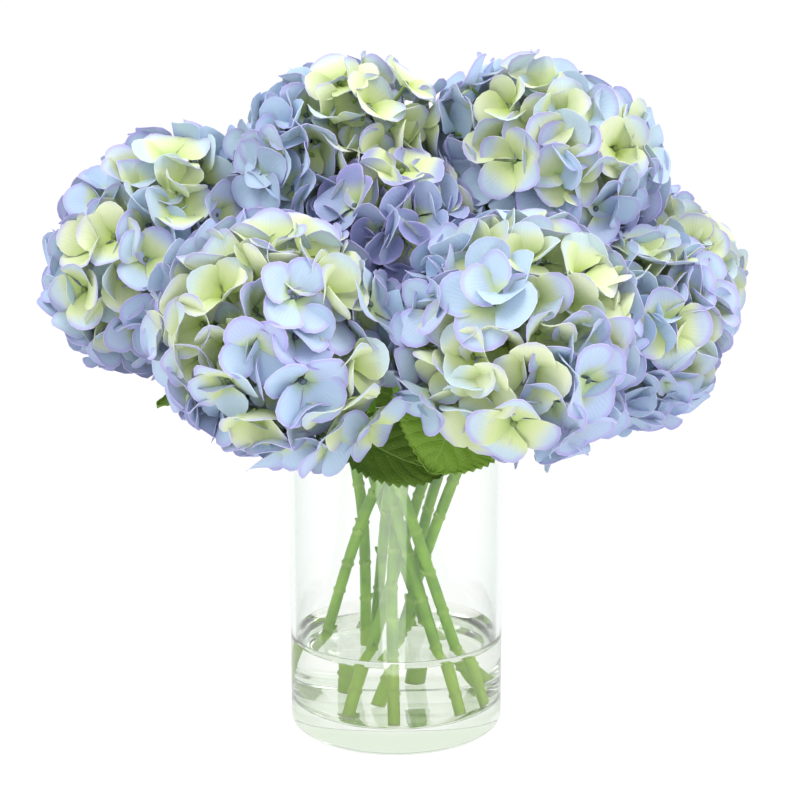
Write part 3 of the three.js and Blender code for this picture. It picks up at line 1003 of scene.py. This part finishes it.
def spray_paths(head, florets):
    neck, axis = neck_of(head), axis_of(head)
    fork = neck + axis * 9 * MM
    paths = [[(neck + axis * rise * MM, radius * MM, 1.0, 0.0) for rise, radius in FORK]]
    for floret in florets:
        foot, normal = floret["foot"], floret["normal"]
        reach = (foot - fork).length
        first = fork + ((foot - fork).normalized() * 2 + axis).normalized() * reach * 0.3
        second = foot - normal * min(reach * 0.35, 12 * MM)
        steps = [k / STALK_STEPS for k in range(STALK_STEPS + 1)]
        spots = [bezier(fork, first, second, foot + normal * 0.6 * MM, t) for t in steps]
        paths.append([(spot, (1.25 - 0.35 * t) * MM, 1.0, 0.0) for spot, t in zip(spots, steps)])
    return paths


for head in HEADS:
    name = head["name"]
    florets = [f for f in placed if f["head"] == name]
    paths = path_object(spray_paths(head, florets))
    spray = made_by(rods, "stalk_spray_" + name, paths, Sides=6, Finish=STALK_FINISH)
    spray.data.shade_smooth()
    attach(spray, "root")
    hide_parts("stalks_" + name)
print("stalks in the last head:", len(florets))

# %% [markdown]
# The leaves are pressed cloth, dark green, with teeth along the edge and a quilted net of veins. Each blade
# is a grid laid along its midrib, wide in the middle and pointed at the tip. The teeth are cut into the
# outermost row of points, and the quilting lifts the cloth between the side veins. The veins' lighter colour
# comes later, in the material, from the same place on the blade. Each row of `LEAVES` says which stem the
# leaf grows from and how far up it, the tone of its green, three points of its midrib and half its width in
# millimetres, and the way that its upper side faces. The first leaf's low tone is painted shade, as it lies
# in the shade of the second leaf, whose tone is high.

# %% Leaves
LEAVES = [
    # Painted shade: the first leaf, in the shade of the second, has a low tone, and the second a high one.
    {"stem": "front_left", "share": 0.85, "tone": 0.1,
     "midrib": [(-30, -66, 194), (-2, -71, 177), (28, -70, 167)], "half": 19, "faces": (0.1, -0.8, 0.6)},
    {"stem": "front_right", "share": 0.93, "tone": 0.95,
     "midrib": [(36, -70, 212), (28, -81, 191), (18, -84, 171)], "half": 30, "faces": (0, -1, 0.1)},
    {"stem": "left", "share": 0.78, "tone": 0.6,
     "midrib": [(-66, -9, 200), (-99, -15, 205), (-137, -21, 194)], "half": 22, "faces": (0, -0.3, 1)},
    {"stem": "right_back", "share": 0.74, "tone": 0.4,
     "midrib": [(80, 25, 199), (106, 24, 199), (134, 27, 185)], "half": 20, "faces": (0, 0.1, 1)},
    {"stem": "back_right", "share": 0.9, "tone": 0.8,
     "midrib": [(20, 66, 197), (-3, 72, 178), (-27, 71, 167)], "half": 21, "faces": (0, 1, 0.15)},
    {"stem": "back_left", "share": 0.95, "tone": 0.3,
     "midrib": [(-48, 69, 214), (-35, 74, 192), (-22, 77, 170)], "half": 26, "faces": (0, 1, 0.1)},
]
SIDE_VEINS = 7
TEETH = 17
LEAF_ROWS = 96
LEAF_COLUMNS = 24
LEAF_CLOTH = 0.5


def bow(points, t):
    """A smooth curve through three points, and its direction."""
    a, b, c = (Vector(p) for p in points)
    control = 2 * b - (a + c) / 2
    point = a * (1 - t) ** 2 + control * 2 * t * (1 - t) + c * t * t
    way = (control - a) * (1 - t) + (c - control) * t
    return point, way.normalized()


def leaf_sheet(leaf):
    """A blade's points in millimetres, and each point's place: -1 to 1 across and 0 to 1 along."""
    face = Vector(leaf["faces"]).normalized()
    sheet = np.zeros((LEAF_ROWS + 1, LEAF_COLUMNS + 1, 3))
    place = np.zeros((LEAF_ROWS + 1, LEAF_COLUMNS + 1, 2))
    for i in range(LEAF_ROWS + 1):
        t = i / LEAF_ROWS
        point, way = bow(leaf["midrib"], t)
        side = way.cross(face).normalized()
        width = 0.6 + leaf["half"] * math.sin(math.pi * t**0.75) ** 0.8
        saw = (t * TEETH) % 1
        tooth = 2.6 * (saw - 0.5) * min(1, width / 8)
        for j in range(LEAF_COLUMNS + 1):
            s = 2 * j / LEAF_COLUMNS - 1
            reach = s * (width + tooth * abs(s) ** 6)
            rib = (t - 0.32 * abs(s)) * SIDE_VEINS
            quilt = 0.8 * abs(math.sin(math.pi * rib)) * min(1, abs(s) * 4) * (1 - abs(s) ** 3)
            ripple = 1.2 * math.sin(9 * t + 4 * s) * s * s
            lift = 0.14 * leaf["half"] * s * s + quilt + ripple
            sheet[i, j] = point + side * reach + face * lift
            place[i, j] = (s, t)
    return sheet, place


# %% [markdown]
# A leaf's own stalk is a short rod that sags a little. It goes from the middle of the stem to the foot of the
# blade, and blade and stalk are one mesh. The material reads the whole stalk as the midrib's foot.

# %% Leaf stalks
STALK_SIDES = 8
STALK_RINGS = 7


def leaf_stalk(seat, blade, first):
    """Points and faces of the rod between two places, its points numbered from `first`."""
    way = (blade - seat).normalized()
    side = way.orthogonal().normalized()
    other = way.cross(side)
    points, faces = [], []
    for k in range(STALK_RINGS):
        t = k / (STALK_RINGS - 1)
        sag = Vector((0, 0, -2.0 * math.sin(math.pi * t)))
        middle = (seat + way * 3.5).lerp(blade, t) + sag
        radius = 1.7 - 0.5 * t
        for m in range(STALK_SIDES):
            turn = 2 * math.pi * m / STALK_SIDES
            points.append(tuple(middle + (side * math.cos(turn) + other * math.sin(turn)) * radius))
    for k in range(STALK_RINGS - 1):
        here, above = first + k * STALK_SIDES, first + (k + 1) * STALK_SIDES
        for m in range(STALK_SIDES):
            after = (m + 1) % STALK_SIDES
            faces.append((here + m, here + after, above + after, above + m))
    last = first + (STALK_RINGS - 1) * STALK_SIDES
    faces.append(tuple(first + m for m in reversed(range(STALK_SIDES))))
    faces.append(tuple(last + m for m in range(STALK_SIDES)))
    return points, faces


def leaf_object(name, leaf, line):
    sheet, place = leaf_sheet(leaf)
    points, faces = cloth_solid(sheet, LEAF_CLOTH)
    spots = along_line(line, 0.5 * MM)[0]
    seat = spots[int(leaf["share"] * (len(spots) - 1))] / MM
    stalk, stalk_faces = leaf_stalk(seat, bow(leaf["midrib"], 0.1)[0], len(points))
    uv = np.concatenate([place.reshape(-1, 2)] * 2) * (0.5, 1) + (0.5, 0)
    uv = np.concatenate([uv, [(0.5, 0.0)] * len(stalk)])
    return mesh_object(name, np.concatenate([points, stalk]) * MM, faces + stalk_faces, uv)


# %% [markdown]
# Leaf cloth is printed rather than dyed: a green ground, darker on some leaves, with lighter veins. On the
# first leaf the darker ground is painted shade from the second leaf, which hangs in front of it. The veins
# follow the quilting: a midrib, and side veins that leave it at a slant, with a fine net between them.

# %% Leaf cloth
def leaf_cloth():
    cloth = Finish("leaf_cloth")
    across, length = cloth.on_sheet()
    side = cloth.maths("ABSOLUTE", across * 2.0 - 1.0)
    slant = (length - side * 0.32) * float(SIDE_VEINS)
    from_vein = cloth.maths("ABSOLUTE", cloth.maths("SINE", slant * math.pi))
    vein = cloth.between(from_vein, 0.16, 0.03)
    midrib = cloth.between(side, 0.05, 0.015)
    lines = cloth.maths("MAXIMUM", vein * 0.7, midrib)
    cells = {"Vector": cloth.places(), "Scale": 420.0}
    net = cloth.node("ShaderNodeTexVoronoi", {"feature": "DISTANCE_TO_EDGE"}, cells)
    fine = cloth.between(net, 0.09, 0.0)
    patches = cloth.noise(60.0, 3.0)
    colour = cloth.mix(patches, dye(64, 96, 8), dye(88, 122, 14))
    # The tone lightens the ground; the first leaf's low tone is painted shade from the second leaf.
    colour = cloth.mix(cloth.attribute("tone") * 0.75, colour, dye(118, 158, 28))
    colour = cloth.mix(fine * 0.18, colour, dye(124, 158, 60))
    colour = cloth.mix(lines * 0.34, colour, dye(138, 172, 74))
    cloth.surface(
        Base_Color=colour, Roughness=0.5, Sheen_Weight=0.1,
        Normal=cloth.bump(fine * -0.4 - lines + patches * 0.3, 0.0006, 0.6),
    )
    return cloth.material


LEAF_FINISH = leaf_cloth()
for number, leaf in enumerate(LEAVES, 1):
    blade = leaf_object(f"leaf_blade_{number}", leaf, stem_lines[leaf["stem"]])
    bpy.context.collection.objects.link(blade)
    blade.data.materials.append(LEAF_FINISH)
    tone = blade.data.attributes.new("tone", "FLOAT", "POINT")
    tone.data.foreach_set("value", [leaf["tone"]] * len(blade.data.vertices))
    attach(blade, "root")
    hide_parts(f"leaf_{number}")
print("leaves:", len(LEAVES))

# %% [markdown]
# The vase is a straight cylinder of clear glass with a thick floor, a rounded foot and a lip melted round.
# Its outline is drawn once and spun about the upright axis. A lathe shape with 192 steps is round enough for
# glass, where every flat would show in the reflections.

# %% Spinning an outline
SPIN_STEPS = 192


def arc(x, z, radius, start, end, steps):
    angles = [math.radians(start + (end - start) * k / steps) for k in range(steps + 1)]
    return [(x + radius * math.cos(a), z + radius * math.sin(a)) for a in angles]


def spun(name, outline, crease=None):
    """Spins an outline that starts and ends on the axis, its outer side to the right as it runs. The ring
    of the outline's point `crease` stays a sharp edge."""
    points = [(0, 0, outline[0][1])]
    for radius, height in outline[1:-1]:
        for k in range(SPIN_STEPS):
            turn = 2 * math.pi * k / SPIN_STEPS
            points.append((radius * math.cos(turn), radius * math.sin(turn), height))
    points.append((0, 0, outline[-1][1]))
    rings, last = len(outline) - 2, len(points) - 1
    faces = [(0, 1 + (k + 1) % SPIN_STEPS, 1 + k) for k in range(SPIN_STEPS)]
    for ring_index in range(rings - 1):
        a, b = 1 + ring_index * SPIN_STEPS, 1 + (ring_index + 1) * SPIN_STEPS
        for k in range(SPIN_STEPS):
            after = (k + 1) % SPIN_STEPS
            faces.append((a + k, a + after, b + after, b + k))
    a = 1 + (rings - 1) * SPIN_STEPS
    faces += [(a + k, a + (k + 1) % SPIN_STEPS, last) for k in range(SPIN_STEPS)]
    made = mesh_object(name, np.array(points) * MM, faces)
    if crease is not None:
        ring = range(1 + (crease - 1) * SPIN_STEPS, 1 + crease * SPIN_STEPS)
        sharp = made.data.attributes.new("sharp_edge", "BOOLEAN", "EDGE")
        sharp.data.foreach_set("value", [all(v in ring for v in edge.vertices) for edge in made.data.edges])
    return made


print("steps round the glass:", SPIN_STEPS)

# %% [markdown]
# The outline runs from the middle of the base outwards, up the outside, over the lip, down the inside and
# back to the axis. Points along the straight parts keep the faces short.

# %% The glass cylinder
WALL, GLASS_FLOOR = 3.0, 15.0
INNER = VASE_RADIUS - WALL
FOOT_ROUND = 5
LIP_ROUND = 1.5
HOLLOW_ROUND = 6
ARC_STEPS = 12

cylinder = [(0, 0), (20, 0), (40, 0)]
cylinder += arc(VASE_RADIUS - FOOT_ROUND, FOOT_ROUND, FOOT_ROUND, -90, 0, ARC_STEPS)
cylinder += [(VASE_RADIUS, h) for h in range(20, 178, 20)]
cylinder += arc(VASE_RADIUS - LIP_ROUND, VASE_HEIGHT - LIP_ROUND, LIP_ROUND, 0, 180, ARC_STEPS)
cylinder += [(INNER, h) for h in range(160, 30, -20)]
cylinder += arc(INNER - HOLLOW_ROUND, GLASS_FLOOR + HOLLOW_ROUND, HOLLOW_ROUND, 0, -90, ARC_STEPS)
cylinder += [(40, GLASS_FLOOR), (20, GLASS_FLOOR), (0, GLASS_FLOOR)]
glass = spun("glass_cylinder", cylinder)
bpy.context.collection.objects.link(glass)
print("faces in the glass:", len(glass.data.polygons))

# %% [markdown]
# The water is clear resin, cast in the vase round the stems. It touches the glass everywhere, so its skin
# lies a hair inside the glass: light then bends once between glass and resin, as it does in the real casting.
# Its top is flat, with a rolled edge that climbs the glass, and the crest of that edge is sharp. Both
# finishes are clear and take a little colour where the way through them is long, which is at the sides and in
# the thick floor.

# %% Water
HAIR = 0.15
WATER_LEVEL = 50
CLIMB_WIDTH = 9
CLIMB_HEIGHT = 6
CLIMB_STEPS = 10

wet = INNER + HAIR
casting = [(0, GLASS_FLOOR - HAIR), (30, GLASS_FLOOR - HAIR)]
casting += arc(wet - HOLLOW_ROUND, GLASS_FLOOR + HOLLOW_ROUND - HAIR, HOLLOW_ROUND, -90, 0, 10)
casting += [(wet, 35), (wet, 45)]
shore = len(casting)
for k in range(CLIMB_STEPS + 1):
    t = k / CLIMB_STEPS
    casting.append((wet - CLIMB_WIDTH * t, WATER_LEVEL + CLIMB_HEIGHT * (1 - t) ** 2))
casting += [(40, WATER_LEVEL), (20, WATER_LEVEL), (0, WATER_LEVEL)]
water = spun("water_casting", casting, shore)
bpy.context.collection.objects.link(water)


def clear(name, colour, foot, edge, bend, ripple):
    """A clear finish. Colour, foot and edge are what a crossing lets through: higher up, in the thick floor,
    and where the surface turns away and the way through it is long. Bend is the index of refraction."""
    finish = Finish(name)
    waves = finish.noise(ripple, 1.0)
    grazing = finish.node("ShaderNodeLayerWeight", inputs={"Blend": 0.5}, output=1)
    colour = finish.mix(finish.between(grazing, 0.2, 1.0), colour, edge)
    colour = finish.mix(finish.between(finish.height(), 0.020, 0.012), colour, foot)
    finish.surface(
        Base_Color=colour, Roughness=0.0, Transmission_Weight=1.0, IOR=bend,
        Normal=finish.bump(waves, 0.0002, 0.12),
    )
    return finish.material


GLASS_FINISH = clear("clear_glass", (0.975, 0.986, 0.98), (0.755, 0.835, 0.72), (0.66, 0.75, 0.7), 1.5, 14.0)
RESIN_FINISH = clear("clear_resin", (1.0, 1.0, 0.965), (0.995, 1.0, 0.96), (0.98, 1.0, 0.95), 1.38, 22.0)
glass.data.materials.append(GLASS_FINISH)
water.data.materials.append(RESIN_FINISH)
for piece, node, slot in ((glass, "vase", "glass"), (water, "set_water", "water")):
    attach(piece, "root")
    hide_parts(node)
print("water stands", WATER_LEVEL - GLASS_FLOOR, "mm deep")

# %% [markdown]
# The studio is plain: a wide white floor, white light from all round, and two large soft lamps, one at the
# upper left and one at the right. White all round is what makes glass look clear and cloth petals glow. The
# floor's white is mostly its own light, so that no shadow greys it. A light panel lies on the floor in front,
# out of the picture, and shows in the glass as one upright pale stripe.

# %% Studio
FLOOR_RADIUS = 6.0
FLOOR_DROP = 0.0002
LAMP_WIDTH = 1.4
LAMPS_AIM = Vector((0, 0, 0.25))


def disc_floor(radius, steps=24):
    turns = [math.tau * k / steps for k in range(steps)]
    points = [(0, 0, 0)] + [(radius * math.cos(turn), radius * math.sin(turn), 0) for turn in turns]
    faces = [(0, 1 + k, 1 + (k + 1) % steps) for k in range(steps)]
    return mesh_object("studio_floor", points, faces, smooth=False)


def soft_light(name, place, watts):
    lamp = bpy.data.lights.new(name, "AREA")
    lamp.size = LAMP_WIDTH
    lamp.energy = watts
    light = bpy.data.objects.new(name, lamp)
    light.location = place
    light.rotation_euler = (LAMPS_AIM - Vector(place)).to_track_quat("-Z", "Y").to_euler()
    bpy.context.collection.objects.link(light)


def glow(name, colour, strength):
    finish = Finish(name)
    finish.surface(Base_Color=colour, Roughness=0.9, Emission_Color=(1, 1, 1), Emission_Strength=strength)
    return finish.material


floor = disc_floor(FLOOR_RADIUS)
floor.location.z = -FLOOR_DROP
panel_corners = [(-0.035, -0.19, 0.001), (0.025, -0.19, 0.001), (0.16, -0.80, 0.001), (-0.30, -0.80, 0.001)]
panel = mesh_object("light_panel", panel_corners, [(3, 2, 1, 0)], smooth=False)
for piece, colour, strength in ((floor, (0.04, 0.04, 0.04), 0.88), (panel, (0.9, 0.9, 0.9), 1.8)):
    bpy.context.collection.objects.link(piece)
    piece.data.materials.append(glow(piece.name + "_paper", colour, strength))
soft_light("key", (-0.9, -0.7, 2.3), 35)
soft_light("fill", (1.9, -0.6, 1.6), 32)
world = bpy.data.worlds.new("studio")
world.use_nodes = True
background = world.node_tree.nodes["Background"]
background.inputs["Color"].default_value = (1, 1, 1, 1)
background.inputs["Strength"].default_value = 0.95
scene = bpy.context.scene
scene.world = world
scene.view_settings.view_transform = "Standard"
scene.view_settings.exposure = 0.13
scene.cycles.use_denoising = True
scene.cycles.max_bounces = 18
scene.cycles.diffuse_bounces = 4
scene.cycles.transmission_bounces = 18
scene.cycles.glossy_bounces = 14
scene.cycles.transparent_max_bounces = 8

# %% [markdown]
